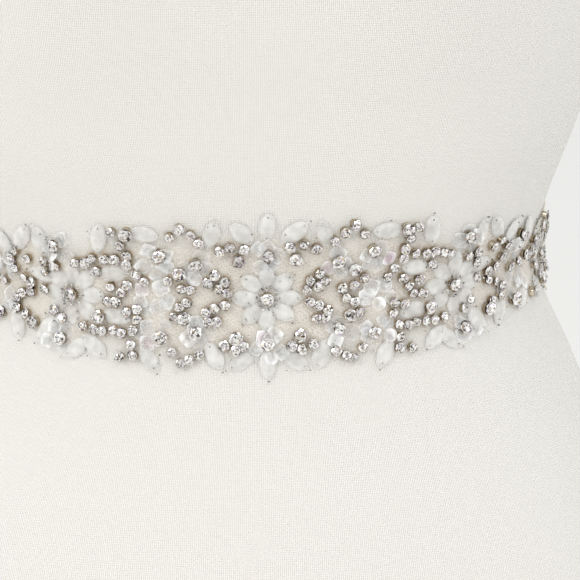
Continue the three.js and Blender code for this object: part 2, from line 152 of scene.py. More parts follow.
# Single petals of the right half and the centre line
PETALS = columns(
    ("along", "up", "turn"),
    [
        (0, 28.5, 90), (0, -26, 90), (9.5, 26, 42), (20.5, 25.5, 108), (9.5, -24.5, -38),
        (19.5, -22.5, 65), (44.5, 25.5, 5), (43, -23.5, 58), (62, 23.5, 102), (64, -19.5, 40),
        (57.5, 9.5, 0), (57, -8, 8), (86, 20, 80), (93.5, 20.5, 125), (87, 6.5, 10),
        (70, -21, 140), (84, -15.5, 120), (97, -14.5, 60), (104, 17.5, 60), (118, 15.5, 120),
        (113, -12.5, 30), (130, 13, 35), (131, -11, 150), (148, 12, 150), (149, -10.5, 30),
        (160, 4, 20), (160, -6, -20), (169, 12, 100), (170, -10, 80), (178, 1, 0),
    ],
)

# Small claw-set stones of the right half, in rows
STONE_ROWS = {
    "upper trefoil": [(8.7, 20.4), (13.6, 21), (17.6, 19.4)],
    "lower trefoil": [(8.6, -18.8), (12.2, -20.4), (16.2, -18.3)],
    "c scroll": [
        (19.7, 9.3), (15.8, 7.2), (15.3, 2.9), (19.1, 4.6), (22.4, 6.6), (15.9, -1.9),
        (19.9, -3.6), (23.4, -5.2), (18.6, -8.4), (22.3, -8.7),
    ],
    "s scroll": [(36.8, 7.1), (32.7, 4.5), (28.8, 3.6), (30.1, -1.2), (33.5, -3), (35.2, -6.8)],
    "upper arch": [(24.8, 22.4), (28, 25.6), (31.4, 28.2), (35.8, 24.6)],
    "lower arch": [(24.8, -21.2), (28, -23.4), (31.3, -24.7), (34.8, -20.6)],
    "upper branch": [
        (56.5, 26.2), (53.8, 21.4), (52.2, 17.4), (57, 15), (60.8, 15.2), (65, 15),
        (68.6, 13.6), (71.8, 13.2), (64.3, 10),
    ],
    "upper hook": [
        (52, 13.4), (48.8, 9.6), (46, 6.4), (52.8, 5.5), (55.4, 1.8), (59, 4),
        (57.2, -1.5), (60.5, -1.7),
    ],
    "lower hook": [
        (53, -5.2), (49.2, -4.6), (48.4, -9), (50.2, -12.8), (53.9, -14), (57.4, -12.7),
        (61.2, -13.2), (65.2, -12.9), (69, -12.3),
    ],
    "lower branch": [(50.2, -18.2), (49, -22.5), (54, -22.8)],
    "side trefoils": [(81, 11.2), (85.4, 12.3), (84.9, 8.2), (78.2, -10.4), (82, -7)],
    "outer curl": [
        (97.8, 14.9), (93, 12.7), (101.4, 11.6), (99.4, 7.7), (95.9, 4.4), (91.8, 2.8), (86.2, 1),
    ],
    "outer hook": [(92.4, -0.8), (96.8, -2), (99.6, -4.8), (98.6, -8.6), (94, -9.9)],
    "outer singles": [(105.7, 2), (110.6, 10.9), (111.4, 2.8)],
    "side curl": [
        (138.5, 17), (135, 14.2), (130.5, 8.8), (126, 9.6), (122.6, 6), (126.8, 2.4),
        (129.5, -2.2), (134, -8), (138.5, -11),
    ],
    "end curl": [
        (147, 9), (151, 10), (154.6, 7.4), (155.6, 3.4), (155.8, -0.8), (155, -5), (151.4, -8),
        (147.2, -8.4), (164, 9), (167.6, 6.4), (164.6, -8.4), (168, -5.4), (172.4, 4), (172.6, -2.6),
    ],
}

# Large single stones of the right half and the centre line
LARGE_STONES = [
    (0, 17.3), (0, -18.4), (10.6, 15.4), (12, -15.2), (26.5, 13.8), (26.5, -13.4), (32.9, 10.2),
    (31.3, -8), (39.8, 17.6), (39.6, -15.2), (51.4, 25.6), (63.6, -8), (79, 19.4), (77.2, -18.2),
    (90.4, -12.8), (112, 14.9), (117.6, 5), (106.8, -11.7), (123.4, -12.6),
]

# Flowers of sequins of the right half and the centre line
SEQUIN_FLOWERS = columns(
    ("along", "up", "sequins", "out"),
    [
        (0, 17, 5, 4.2), (0, -19, 5, 4.6), (26.5, 13, 4, 4), (26.5, -14, 4, 4), (41, 15, 5, 4.4),
        (43, 0.5, 6, 4.8), (42.5, -14, 5, 4.6), (79, 18, 5, 4.2), (78, -17, 4, 4.2),
        (105, 9, 4, 3.6), (103, -6, 3, 3.4), (150, 1, 5, 4), (114, -4, 3, 3.2), (133, 6, 3, 3.2),
    ],
)


def through_rows(level, column):
    """Smooth curve through a column of the form's sections."""
    x, y = FORM_SECTIONS[:, 0], FORM_SECTIONS[:, column]
    before = np.maximum(np.arange(len(x)) - 1, 0)
    after = np.minimum(np.arange(len(x)) + 1, len(x) - 1)
    slope = (y[after] - y[before]) / (x[after] - x[before])
    level = np.clip(level, x[0], x[-1])
    i = np.clip(np.searchsorted(x, level, side="right") - 1, 0, len(x) - 2)
    span = x[i + 1] - x[i]
    q = (level - x[i]) / span
    p = 1 - q
    start = (1 + 2 * q) * p * p * y[i] + q * p * p * span * slope[i]
    end = q * q * (3 - 2 * q) * y[i + 1] - q * q * p * span * slope[i + 1]
    return start + end


def form_points(turn, level):
    """Points of the form's surface; the turn is 0 at the front and grows towards +X."""
    turn, level = np.broadcast_arrays(np.asarray(turn, float), np.asarray(level, float))
    half_width, front, back, squareness = (through_rows(level, i) for i in range(1, 5))
    sine, cosine = np.sin(turn), np.cos(turn)
    x = half_width * np.sign(sine) * np.abs(sine) ** (2 / squareness)
    depth = np.abs(cosine) ** (2 / squareness)
    y = np.where(cosine >= 0, -front * depth, back * depth)
    swell = np.exp(-(((level - BUST["level"]) / BUST["spread_up"]) ** 2) / 2)
    aside = [(x + s * BUST["sideways"]) / BUST["spread_sideways"] for s in (-1, 1)]
    sides = sum(np.exp(-(share**2) / 2) for share in aside)
    y = y - BUST["amount"] * swell * sides * np.clip(cosine, 0, 1) ** 0.6
    return np.stack([x, y, WAIST_HEIGHT + level], axis=-1)


def form_axes(turn, level):
    """Directions along the sash, up it and out of the form."""
    turn_step, level_step = 1e-4, 0.05
    round_it = form_points(turn + turn_step, level) - form_points(turn - turn_step, level)
    up_it = form_points(turn, level + level_step) - form_points(turn, level - level_step)
    out = np.cross(round_it, up_it)
    out /= np.linalg.norm(out, axis=-1, keepdims=True)
    along = round_it / np.linalg.norm(round_it, axis=-1, keepdims=True)
    return along, np.cross(out, along), out


WAIST_TURNS = np.linspace(0, math.pi, 2001)
WAIST_LENGTHS = np.concatenate(
    [[0], np.cumsum(np.linalg.norm(np.diff(form_points(WAIST_TURNS, 0), axis=0), axis=1))]
)
HALF_WAIST = WAIST_LENGTHS[-1]


def turn_at(along):
    """Turn round the form at a length along the waist, also past the centre back."""
    length = np.abs(along)
    past = length > HALF_WAIST
    near = np.interp(np.where(past, 2 * HALF_WAIST - length, length), WAIST_LENGTHS, WAIST_TURNS)
    return np.sign(along) * np.where(past, 2 * math.pi - near, near)


def sash_points(along, up, off):
    """Points of the sash in metres, at a distance off the form in millimetres."""
    turn = turn_at(np.asarray(along, float))
    out = form_axes(turn, up)[2]
    return (form_points(turn, up) + np.asarray(off, float)[..., None] * out) * MM


def smooth_step(value, low, high):
    """0 below low, 1 above high, smooth between."""
    t = np.clip((value - low) / (high - low), 0, 1)
    return t * t * (3 - 2 * t)


def lift(along):
    """Height that the applique rises by where it lies on the ribbons."""
    return UPPER_LAYER_LIFT * smooth_step(np.abs(along), LIFT_START, LIFT_END)


def around(along, up, out, turn):
    """Place on the sash at a distance from another one, towards a turn in degrees."""
    angle = math.radians(turn)
    return along + out * math.cos(angle), up + out * math.sin(angle)


def halves(along):
    """Sides that a charted place is sewn on: both, or one on the centre line."""
    return (1,) if along == 0 else (1, -1)


# Working with Blender's own modelling tools
def deselect():
    bpy.ops.object.select_all(action="DESELECT")


def finish_primitive(name):
    """Names the primitive that was just added."""
    piece = bpy.context.object
    piece.name = piece.data.name = name
    return piece


def select_only(piece):
    """Makes a piece the one that the tools work on."""
    deselect()
    bpy.context.view_layer.objects.active = piece
    piece.select_set(True)


def in_edit_mode(piece, action):
    """Runs an action on the piece in edit mode, with nothing selected at the start."""
    select_only(piece)
    bpy.ops.object.mode_set(mode="EDIT")
    bpy.ops.mesh.select_all(action="DESELECT")
    action()
    bpy.ops.object.mode_set(mode="OBJECT")


def select_where(piece, test, kind="VERT"):
    """Selects the vertices or faces whose middle passes the test, in edit mode."""
    bpy.ops.mesh.select_mode(type=kind)
    bpy.ops.mesh.select_all(action="DESELECT")
    bpy.ops.object.mode_set(mode="OBJECT")
    parts, middle = {
        "VERT": (piece.data.vertices, "co"), "FACE": (piece.data.polygons, "center"),
    }[kind]
    for part in parts:
        part.select = test(getattr(part, middle))
    bpy.ops.object.mode_set(mode="EDIT")


def select_all():
    bpy.ops.mesh.select_all(action="SELECT")


def resize(x, y, z, about=(0, 0, 0)):
    """Resizes what is selected about a point."""
    bpy.ops.transform.resize(value=(x, y, z), center_override=about)


def rotate(degrees, axis):
    """Turns what is selected round an axis through the origin."""
    bpy.ops.transform.rotate(
        value=math.radians(degrees), orient_axis=axis, center_override=(0, 0, 0))


def move(x, y, z):
    bpy.ops.transform.translate(value=(x, y, z))


def extrude_up(rise):
    """Draws new faces up from what is selected."""
    bpy.ops.mesh.extrude_region_move(TRANSFORM_OT_translate={"value": (0, 0, rise)})


def turn_faces_out():
    bpy.ops.mesh.normals_make_consistent(inside=False)


def disc(name, corners, radius, height=0):
    """Flat disc that a turned or pressed piece starts from."""
    deselect()
    bpy.ops.mesh.primitive_circle_add(
        vertices=corners, radius=radius, fill_type="NGON", location=(0, 0, height))
    return finish_primitive(name)


def add_values(mesh, name, domain, values):
    """A number for each vertex or face, which the finishes read by its name."""
    mesh.attributes.new(name, "FLOAT", domain).data.foreach_set("value", values)


def add_object(name, data):
    made = bpy.data.objects.new(name, data)
    bpy.context.scene.collection.objects.link(made)
    return made


def aim(made, point):
    """Turns a camera or a lamp towards a point."""
    made.rotation_euler = (made.location - Vector(point)).to_track_quat("Z", "Y").to_euler()


def apply_modifier(piece, kind, **settings):
    """Adds a modifier to a piece and applies it."""
    select_only(piece)
    modifier = piece.modifiers.new(kind.title(), kind)
    for key, value in settings.items():
        setattr(modifier, key, value)
    bpy.ops.object.modifier_apply(modifier=modifier.name)


def tidy_mesh(piece, threshold=1e-4):
    """Joins vertices that meet and turns all faces outwards."""
    in_edit_mode(piece, lambda: (
        select_all(), bpy.ops.mesh.remove_doubles(threshold=threshold), turn_faces_out(),
    ))
    return piece


def place_points(piece, points):
    """Moves all of a piece's vertices to the given points."""
    piece.data.vertices.foreach_set("co", np.asarray(points, float).ravel())
    piece.data.update()


def own_points(piece):
    """The piece's vertices as an array."""
    found = np.empty(len(piece.data.vertices) * 3)
    piece.data.vertices.foreach_get("co", found)
    return found.reshape(-1, 3)


def flat_cloth(name, columns_across, rows_up):
    """Flat grid from -1 to 1 each way, on the bench, for cloth that is then wrapped."""
    deselect()
    bpy.ops.mesh.primitive_grid_add(x_subdivisions=columns_across, y_subdivisions=rows_up, size=2)
    return finish_primitive(name)


def metric_uv(piece, width, height):
    """Scales the grid's own UV map to metres."""
    layer = piece.data.uv_layers[0]
    layer.name = "cloth"
    found = np.empty(len(layer.data) * 2)
    layer.data.foreach_get("uv", found)
    found = found.reshape(-1, 2) * [width * MM, height * MM]
    layer.data.foreach_set("uv", found.ravel())


def smooth(piece, angle=None):
    """Shades a piece smooth, or smooth up to an angle in degrees."""
    select_only(piece)
    if angle is None:
        bpy.ops.object.shade_smooth()
    else:
        bpy.ops.object.shade_smooth_by_angle(angle=math.radians(angle))


def finish_piece(piece, material, slot, *replaced):
    """Gives a finished piece its material and body and hides the nodes that it stands for; the slot is not
    used.
    """
    piece.data.materials.clear()
    piece.data.materials.append(material)
    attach(piece, "root")
    if replaced:
        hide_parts(*replaced)
    return piece


class Finish:
    """A node material, built with short calls. Colours are linear."""

    def __init__(self, name, **sockets):
        self.material = bpy.data.materials.new(name)
        self.material.use_nodes = True
        self.tree = self.material.node_tree
        self.shader = self.tree.nodes["Principled BSDF"]
        for key, value in sockets.items():
            socket = self.shader.inputs[key.replace("_", " ")]
            socket.default_value = (*value, 1) if socket.type == "RGBA" else value

    def link(self, value, socket):
        """A socket, or a plain number or colour, into a node's input."""
        if isinstance(value, bpy.types.NodeSocket):
            self.tree.links.new(value, socket)
        elif isinstance(value, tuple) and len(value) == 3 and len(socket.default_value) == 4:
            socket.default_value = (*value, 1)
        else:
            socket.default_value = value

    def node(self, kind, inputs=(), output=0, **settings):
        made = self.tree.nodes.new(kind)
        for key, value in settings.items():
            setattr(made, key, value)
        for key, value in dict(inputs).items():
            self.link(value, made.inputs[key])
        return made.outputs[output]

    def math(self, operation, *values):
        return self.node("ShaderNodeMath", enumerate(values), operation=operation)

    def times(self, value, factor):
        return self.math("MULTIPLY", value, factor)

    def times_plus(self, value, factor, added):
        return self.math("MULTIPLY_ADD", value, factor, added)

    def mix(self, share, low, high):
        made = self.tree.nodes.new("ShaderNodeMix")
        made.data_type = "RGBA"
        self.link(share, made.inputs[0])
        self.link(low, made.inputs[6])
        self.link(high, made.inputs[7])
        return made.outputs[2]

    def ramp(self, value, stops, interpolation="LINEAR"):
        made = self.tree.nodes.new("ShaderNodeValToRGB")
        made.color_ramp.interpolation = interpolation
        stretch = made.color_ramp.elements
        while len(stretch) < len(stops):
            stretch.new(0.5)
        for element, (place, colour) in zip(stretch, stops):
            element.position = place
            element.color = (*colour, 1) if isinstance(colour, tuple) else (colour, colour, colour, 1)
        self.link(value, made.inputs[0])
        return made.outputs[0]

    def noise(self, vector, scale, detail=3.0, roughness=0.5):
        inputs = {"Vector": vector, "Scale": scale, "Detail": detail, "Roughness": roughness}
        return self.node("ShaderNodeTexNoise", inputs)

    def attribute(self, name):
        return self.node("ShaderNodeAttribute", output=2, attribute_name=name)

    def place(self):
        return self.node("ShaderNodeTexCoord", output=3)

    def stretched(self, vector, scale):
        return self.node("ShaderNodeMapping", {"Vector": vector, "Scale": scale})

    def cloth_uv(self):
        """Both numbers of the piece's own UV map, in metres."""
        uv = self.node("ShaderNodeUVMap", uv_map="cloth")
        parts = self.tree.nodes.new("ShaderNodeSeparateXYZ")
        self.link(uv, parts.inputs[0])
        return uv, parts.outputs[0], parts.outputs[1]

    def colour(self, value):
        self.link(value, self.shader.inputs["Base Color"])
        return self

    def cover(self, value):
        """How much of what lies under it the finish hides, from 0 to 1."""
        self.link(value, self.shader.inputs["Alpha"])
        return self

    def bump(self, height, distance, strength=1.0):
        """Bump of a height map whose full height is given in metres."""
        inputs = {"Height": height, "Distance": distance, "Strength": strength}
        self.link(self.node("ShaderNodeBump", inputs), self.shader.inputs["Normal"])
        return self


# Sizes inside the finishes
WALE = 1.16 * MM
COURSE = 0.92 * MM
NET_LAYERS = ((58, 1.25), (-58, 1.25), (0, 1.1), (37, 1.6), (-71, 1.6))
NET_THREAD_SHARE = 0.11
CLOUD_SCALE = 230.0


def jersey_finish():
    """Fine knit: upright wales of stitches, each stitch two slanted legs."""
    it = Finish("cream knit jersey", Roughness=0.92, Sheen_Weight=0.25, Sheen_Roughness=0.6)
    uv, across, up = it.cloth_uv()
    in_wale = it.math("PINGPONG", it.math("DIVIDE", across, WALE / 2), 1.0)
    leg_slant = it.times(in_wale, 0.55)
    stitch = it.math("ADD", it.math("DIVIDE", up, COURSE), leg_slant)
    leg = it.math("SINE", it.times(stitch, 2 * math.pi))
    leg = it.times_plus(leg, 0.5, 0.5)
    rib = it.math("SINE", it.times(in_wale, math.pi))
    height = it.times(it.times_plus(leg, 0.5, 0.5), rib)
    patches = it.noise(uv, 900.0, 2.0)
    height = it.times(height, it.times_plus(patches, 0.8, 0.6))
    broad = it.noise(uv, 14.0, 2.0)
    # Painted shade: the yarn is darker down in the grooves between the stitches
    yarn_with_painted_shade = it.mix(height, (0.72, 0.70, 0.645), (0.885, 0.868, 0.83))
    it.colour(it.mix(it.times(broad, 0.2), yarn_with_painted_shade, (0.85, 0.835, 0.80)))
    return it.bump(height, 0.3 * MM, 0.9).material


def tulle_finish():
    """Two layers of beige net, laid a little askew, over the cream form, with painted shade beside the
    stones.
    """
    it = Finish("beige net", Roughness=0.75, Sheen_Weight=0.15)
    uv, across, up = it.cloth_uv()
    threads = None
    for angle, cell in NET_LAYERS:
        slant = math.radians(angle)
        run = it.times(across, math.cos(slant) / (cell * MM))
        run = it.times_plus(up, math.sin(slant) / (cell * MM), run)
        away = it.math("PINGPONG", run, 0.5)
        thread = it.math("LESS_THAN", away, NET_THREAD_SHARE)
        threads = thread if threads is None else it.math("MAXIMUM", threads, thread)
    blush = it.noise(uv, 60.0, 3.0)
    plain = it.mix(blush, (0.82, 0.735, 0.65), (0.91, 0.85, 0.775))
    net = it.mix(threads, plain, (0.92, 0.87, 0.80))
    # Painted shade: beside the stones the net is mixed towards brown and made more opaque
    beside = it.attribute("painted_stone_shade")
    it.colour(it.mix(beside, net, (0.50, 0.38, 0.24)))
    cover = it.times_plus(threads, 0.16, 0.26)
    cover = it.times(cover, it.attribute("middle"))
    return it.cover(it.times_plus(beside, 0.24, cover)).bump(threads, 0.1 * MM, 0.25).material


def petal_finish():
    """Milky opal beads that let the net show through and thin out towards the rim."""
    it = Finish("milky opal", Roughness=0.42, Specular_IOR_Level=0.3)
    tone, rim = it.attribute("tone"), it.attribute("rim")
    cloud = it.ramp(it.noise(it.place(), CLOUD_SCALE, 1.5), [(0.34, 0.0), (0.68, 1.0)])
    body = it.mix(tone, (0.80, 0.785, 0.75), (0.85, 0.835, 0.805))
    it.colour(it.mix(cloud, body, (0.89, 0.885, 0.865)))
    milk = it.times_plus(cloud, 0.2, 0.27)
    milk = it.times_plus(tone, 0.22, milk)
    thin = it.ramp(rim, [(0.7, 1.0), (0.99, 0.62)])
    return it.cover(it.times(milk, thin)).bump(cloud, 0.12 * MM, 0.3).material


def stone_finish():
    """Cut crystal with painted reflections: each facet is painted light, dark or as a warm spark."""
    it = Finish("cut crystal", Metallic=0.8, Roughness=0.07, Coat_Weight=0.6, Coat_Roughness=0.02)
    facet = it.attribute("facet")
    # Painted reflections: each facet's colour stands for what it would mirror, light, dark or a warm or
    # lilac spark
    stops = [
        (0.0, (0.88, 0.87, 0.86)), (0.30, (0.68, 0.66, 0.63)), (0.50, (0.45, 0.42, 0.38)),
        (0.65, (0.26, 0.235, 0.22)), (0.76, (0.035, 0.028, 0.023)), (0.86, (0.42, 0.30, 0.17)),
        (0.90, (0.55, 0.47, 0.58)), (0.95, (1.0, 1.0, 1.0)),
    ]
    # Some stones, chosen at random, have their painted reflections dimmed
    dim = it.ramp(it.attribute("tone"), [(0.0, 0.26), (0.4, 0.03), (1.0, 0.0)])
    return it.colour(it.mix(dim, it.ramp(facet, stops, "CONSTANT"), (0.11, 0.085, 0.085))).material


def cup_finish():
    """Silver plate with painted shade: brown and dark down in the cups, in some more than in others."""
    it = Finish("silver plate", Metallic=0.95, Roughness=0.22)
    tone = it.attribute("tone")
    # Painted shade: where ambient occlusion finds the cup shut in, the plate is mixed towards dark brown
    cup_occlusion = it.node("ShaderNodeAmbientOcclusion", {"Distance": 1.4 * MM}, output=1)
    painted_shade_plate = it.mix(tone, (0.20, 0.15, 0.085), (0.38, 0.315, 0.215))
    unshaded_plate = it.mix(tone, (0.48, 0.39, 0.26), (0.74, 0.68, 0.57))
    return it.colour(it.mix(it.ramp(cup_occlusion, [(0.25, 0.0), (0.9, 1.0)]), painted_shade_plate, unshaded_plate)).material


def sequin_finish():
    """Clear pearly sequins with a pale edge and a grey ring where they cup; a few are painted flash white
    as a painted highlight.
    """
    it = Finish("pearly sequin", Roughness=0.25, Specular_IOR_Level=0.35)
    tone, rim = it.attribute("tone"), it.attribute("rim")
    # The top of the tone range paints a few sequins flash white: a painted highlight
    stops = [
        (0.0, (0.68, 0.71, 0.73)), (0.5, (0.79, 0.80, 0.81)), (0.84, (0.87, 0.875, 0.875)),
        (0.88, (0.76, 0.66, 0.72)), (0.92, (0.93, 0.93, 0.92)),
    ]
    body = it.ramp(tone, stops)
    ring = it.ramp(rim, [(0.28, 0.0), (0.38, 1.0), (0.52, 0.0)])
    edge = it.ramp(rim, [(0.86, 0.0), (0.96, 1.0)])
    body = it.mix(it.times(edge, 0.7), body, (0.92, 0.93, 0.93))
    ring_stops = [
        (0.0, (0.38, 0.43, 0.48)), (0.82, (0.50, 0.52, 0.55)),
        (0.88, (0.44, 0.20, 0.29)), (0.92, (0.6, 0.62, 0.63)),
    ]
    ring_tone = it.ramp(tone, ring_stops)
    it.colour(it.mix(it.times(ring, 0.8), body, ring_tone))
    # Painted glare: noise patches where the sequins hide more of the net, the flash-white ones most,
    # standing in for reflected light
    cover = it.ramp(tone, [(0.0, 0.24), (0.6, 0.55), (0.84, 0.75), (0.93, 0.9)])
    glare = it.ramp(it.noise(it.place(), CLOUD_SCALE, 1.0), [(0.44, 0.3), (0.6, 1.0)])
    cover = it.times(cover, glare)
    cover = it.times_plus(edge, 0.14, cover)
    return it.cover(it.times_plus(ring, 0.22, cover)).material


def seed_finish():
    it = Finish("silver seed bead", Metallic=0.8, Roughness=0.16)
    stops = [(0.0, (0.10, 0.095, 0.09)), (0.45, (0.45, 0.42, 0.38)), (1.0, (0.9, 0.88, 0.83))]
    return it.colour(it.ramp(it.attribute("tone"), stops)).material


def thread_finish():
    it = Finish("white sewing thread", Roughness=0.7, Sheen_Weight=0.3)
    twist = it.noise(it.place(), 2600.0, 1.0)
    return it.colour(it.mix(twist, (0.62, 0.6, 0.56), (0.88, 0.87, 0.84))).bump(twist, 0.05 * MM).material


def satin_finish():
    """Ivory satin: long floats along the ribbon and a soft sheen."""
    it = Finish(
        "ivory satin", Roughness=0.34, Sheen_Weight=0.4, Sheen_Roughness=0.35,
        Anisotropic=0.5, Specular_IOR_Level=0.55,
    )
    uv, across, _ = it.cloth_uv()
    floats = it.noise(it.stretched(uv, (300.0, 5200.0, 1.0)), 1.0, 2.0)
    ribs = it.math("SINE", it.times(across, 2 * math.pi / (0.55 * MM)))
    weave = it.times_plus(ribs, 0.18, floats)
    broad = it.noise(uv, 35.0, 2.0)
    # Painted shade: the satin is darker where the floats lie low
    yarn_with_painted_shade = it.mix(floats, (0.70, 0.65, 0.56), (0.86, 0.82, 0.735))
    it.colour(it.mix(it.times(broad, 0.3), yarn_with_painted_shade, (0.80, 0.755, 0.665)))
    return it.bump(weave, 0.06 * MM, 0.6).material


def wood_finish(name, grain):
    """Pale beech under satin varnish; grain is the scale of its fibres each way."""
    it = Finish(name, Roughness=0.38, Coat_Weight=0.3, Coat_Roughness=0.25)
    place = it.place()
    fibres = it.noise(it.stretched(place, grain), 1.0, 5.0, 0.62)
    rings = it.noise(it.stretched(place, tuple(g / 7 for g in grain)), 1.0, 2.0)
    band = it.math("SINE", it.times(rings, 44.0))
    tone = it.times_plus(band, 0.12, fibres)
    stops = [(0.25, (0.40, 0.25, 0.135)), (0.55, (0.56, 0.385, 0.235)), (0.85, (0.64, 0.47, 0.31))]
    it.colour(it.ramp(tone, stops))
    it.link(it.times_plus(fibres, 0.2, 0.3), it.shader.inputs["Roughness"])
    return it.bump(fibres, 0.1 * MM, 0.5).material


# The form and its cover
def form_cover():
    """Knit cover drawn over the form, its hem turned under the floor."""
    low, high = LOW_LEVEL - HEM_TURN, HIGH_LEVEL
    piece = flat_cloth("form_cover", COVER_COLUMNS, COVER_ROWS)
    metric_uv(piece, 2 * HALF_WAIST, high - low)
    flat = own_points(piece)
    level = low + (flat[:, 1] + 1) / 2 * (high - low)
    turn = turn_at(flat[:, 0] * HALF_WAIST)
    under = np.clip(LOW_LEVEL - level, 0, None)
    points = form_points(turn, np.maximum(level, LOW_LEVEL))
    out = form_axes(turn, np.maximum(level, LOW_LEVEL + 1))[2]
    points += COVER_OFF * out
    edge_round = HEM_EDGE_ROUND * (1 - np.exp(-under / HEM_EDGE_ROUND))
    inward = 1 - under / HEM_DRAWN_IN
    points[:, :2] *= inward[:, None]
    points[:, 2] -= 0.1 * edge_round
    place_points(piece, points * MM)
    tidy_mesh(piece, 1e-6)
    smooth(piece)
    apply_modifier(piece, "SOLIDIFY", thickness=COVER_WALL * MM, offset=-1)
    return piece


def petal_edge(petal, along, sign):
    """Highest or lowest edge of a petal over places along the sash, or not a number beside it."""
    angle = math.radians(petal["turn"])
    a, b = PETAL_LENGTH / 2 + EDGE_SPARE, PETAL_WIDTH / 2 + EDGE_SPARE
    x = along - petal["along"]
    xx = (math.cos(angle) / a) ** 2 + (math.sin(angle) / b) ** 2
    xy = 2 * math.sin(angle) * math.cos(angle) * (1 / a**2 - 1 / b**2)
    yy = (math.sin(angle) / a) ** 2 + (math.cos(angle) / b) ** 2
    root = (xy * x) ** 2 - 4 * yy * (xx * x * x - 1)
    return np.where(root < 0, np.nan, petal["up"] + (-xy * x + sign * np.sqrt(np.abs(root))) / (2 * yy))


def both_sides(rows):
    """Each petal with its twin on the left half; one on the centre line has none."""
    twins = [{**row, "along": -row["along"], "turn": 180 - row["turn"]} for row in rows if row["along"]]
    return rows + twins


def daisy_petals(along, up, petals, out):
    """Petals round a daisy's centre."""
    turns = [360 * i / petals for i in range(petals)]
    rows = [(*around(along, up, out, turn), turn, DAISY_PETAL_SHARE) for turn in turns]
    return columns(("along", "up", "turn", "size"), rows)


ALL_PETALS = both_sides(
    PETALS
    + [petal for place in DAISIES for petal in daisy_petals(*place, DAISY_PETALS, DAISY_PETAL_OUT)]
    + [
        petal for place in SMALL_DAISIES
        for petal in daisy_petals(*place, SMALL_DAISY_PETALS, SMALL_DAISY_PETAL_OUT)
    ]
)


def tulle_edge(along, sign):
    """Upper or lower edge of the tulle, with the petals that reach past it."""
    away = np.abs(along)
    swell = np.exp(-((away / APPLIQUE_SWELL_REACH) ** APPLIQUE_SWELL_POWER))
    full = APPLIQUE_SIDE_HALF_HEIGHT + APPLIQUE_EXTRA_HALF_HEIGHT * swell
    into_end = np.clip((away - APPLIQUE_REACH) / APPLIQUE_END_ROUND + 1, 0, 1)
    rounding = np.sqrt(1 - into_end**2)
    half = APPLIQUE_END_HALF_HEIGHT + (full - APPLIQUE_END_HALF_HEIGHT) * rounding
    plain = sign * APPLIQUE_CENTRE_UP + half
    edges = [sign * petal_edge(petal, along, sign) for petal in ALL_PETALS]
    return sign * np.fmax.reduce([plain, *edges])


def tulle_ground(stones):
    """The net strip that everything is sewn to, cut close round the petals.

    The net gets painted shade, darker and browner, beside the stones, whose places along and up the sash
    are given.
    """
    piece = flat_cloth("tulle_ground", TULLE_COLUMNS, TULLE_ROWS)
    piece.data.uv_layers[0].name = "cloth"
    flat = own_points(piece)
    along = flat[:, 0] * APPLIQUE_REACH
    places, back = np.unique(along.round(4), return_inverse=True)
    bottoms, tops = tulle_edge(places, -1)[back], tulle_edge(places, 1)[back]
    up = bottoms + (flat[:, 1] + 1) / 2 * (tops - bottoms)
    puckers = 0.12 * np.sin(along * 0.83 + 1.7 * np.sin(up * 0.21))
    puckers *= np.sin(up * 0.77 + 1.3 * np.sin(along * 0.17))
    place_points(piece, sash_points(along, up, TULLE_OFF + puckers + lift(along)))
    inside = smooth_step(1 - np.abs(flat[:, 1]), 0.08, 0.5)
    # Distance to the nearest stone, for the painted shade on the net beside them
    away = np.min([np.hypot(along - a, up - u) for a, u in stones], axis=0)
    for name, values in (("middle", inside), ("painted_stone_shade", 1 - smooth_step(away, *STONE_SHADE))):
        add_values(piece.data, name, "POINT", values)
    uv = np.stack([along + APPLIQUE_REACH, up + TULLE_HALF_HEIGHT], axis=-1) * MM
    corners = np.empty(len(piece.data.loops), int)
    piece.data.loops.foreach_get("vertex_index", corners)
    piece.data.uv_layers[0].data.foreach_set("uv", uv[corners].ravel())
    smooth(piece)
    apply_modifier(piece, "SOLIDIFY", thickness=TULLE_WALL * MM, offset=-1)
    return piece


def ribbon(name, side):
    """Satin ribbon from under the applique to past the centre back; the right one laps over."""
    end = HALF_WAIST + RIBBON_LAP / 2
    lap_start = HALF_WAIST - RIBBON_LAP / 2
    piece = flat_cloth(name, RIBBON_COLUMNS, RIBBON_ROWS)
    metric_uv(piece, end - RIBBON_START, RIBBON_WIDTH)
    flat = own_points(piece)
    share = (flat[:, 0] + 1) / 2
    length = RIBBON_START + (end - RIBBON_START) * (share if side > 0 else 1 - share)
    up = flat[:, 1] * RIBBON_WIDTH / 2
    rise = UPPER_LAYER_LIFT * smooth_step(length, lap_start - LAP_RISE, lap_start - 1) if side > 0 else 0
    creases = 0.22 * np.sin(length * 0.11 + up * 0.09 * side) * np.sin(up * 0.13 + side) ** 2
    place_points(piece, sash_points(side * length, up, RIBBON_OFF + RIBBON_WALL + 0.1 + rise + creases))
    smooth(piece)
    apply_modifier(piece, "SOLIDIFY", thickness=RIBBON_WALL * MM, offset=-1)
    apply_modifier(piece, "BEVEL", width=0.25 * MM, segments=2, limit_method="ANGLE")
    return piece


# The stand, turned from wood, and the board that closes the form
def turned(name, outline, middle=(0, 0), oval=1.0):
    """Turned piece: a disc drawn out through its outline of (radius, height) pairs."""
    radius, height = outline[0]
    piece = disc(name, ROUND_CORNERS, radius * MM, height * MM)
    bpy.ops.object.transform_apply(location=True)

    def draw_out():
        select_all()
        for (last_radius, last_height), (radius, height) in zip(outline, outline[1:]):
            extrude_up((height - last_height) * MM)
            resize(radius / last_radius, radius / last_radius, 1)
        select_all()
        resize(1, oval, 1)
        move(middle[0] * MM, middle[1] * MM, 0)
        turn_faces_out()

    in_edit_mode(piece, draw_out)
    smooth(piece, 35)
    return piece


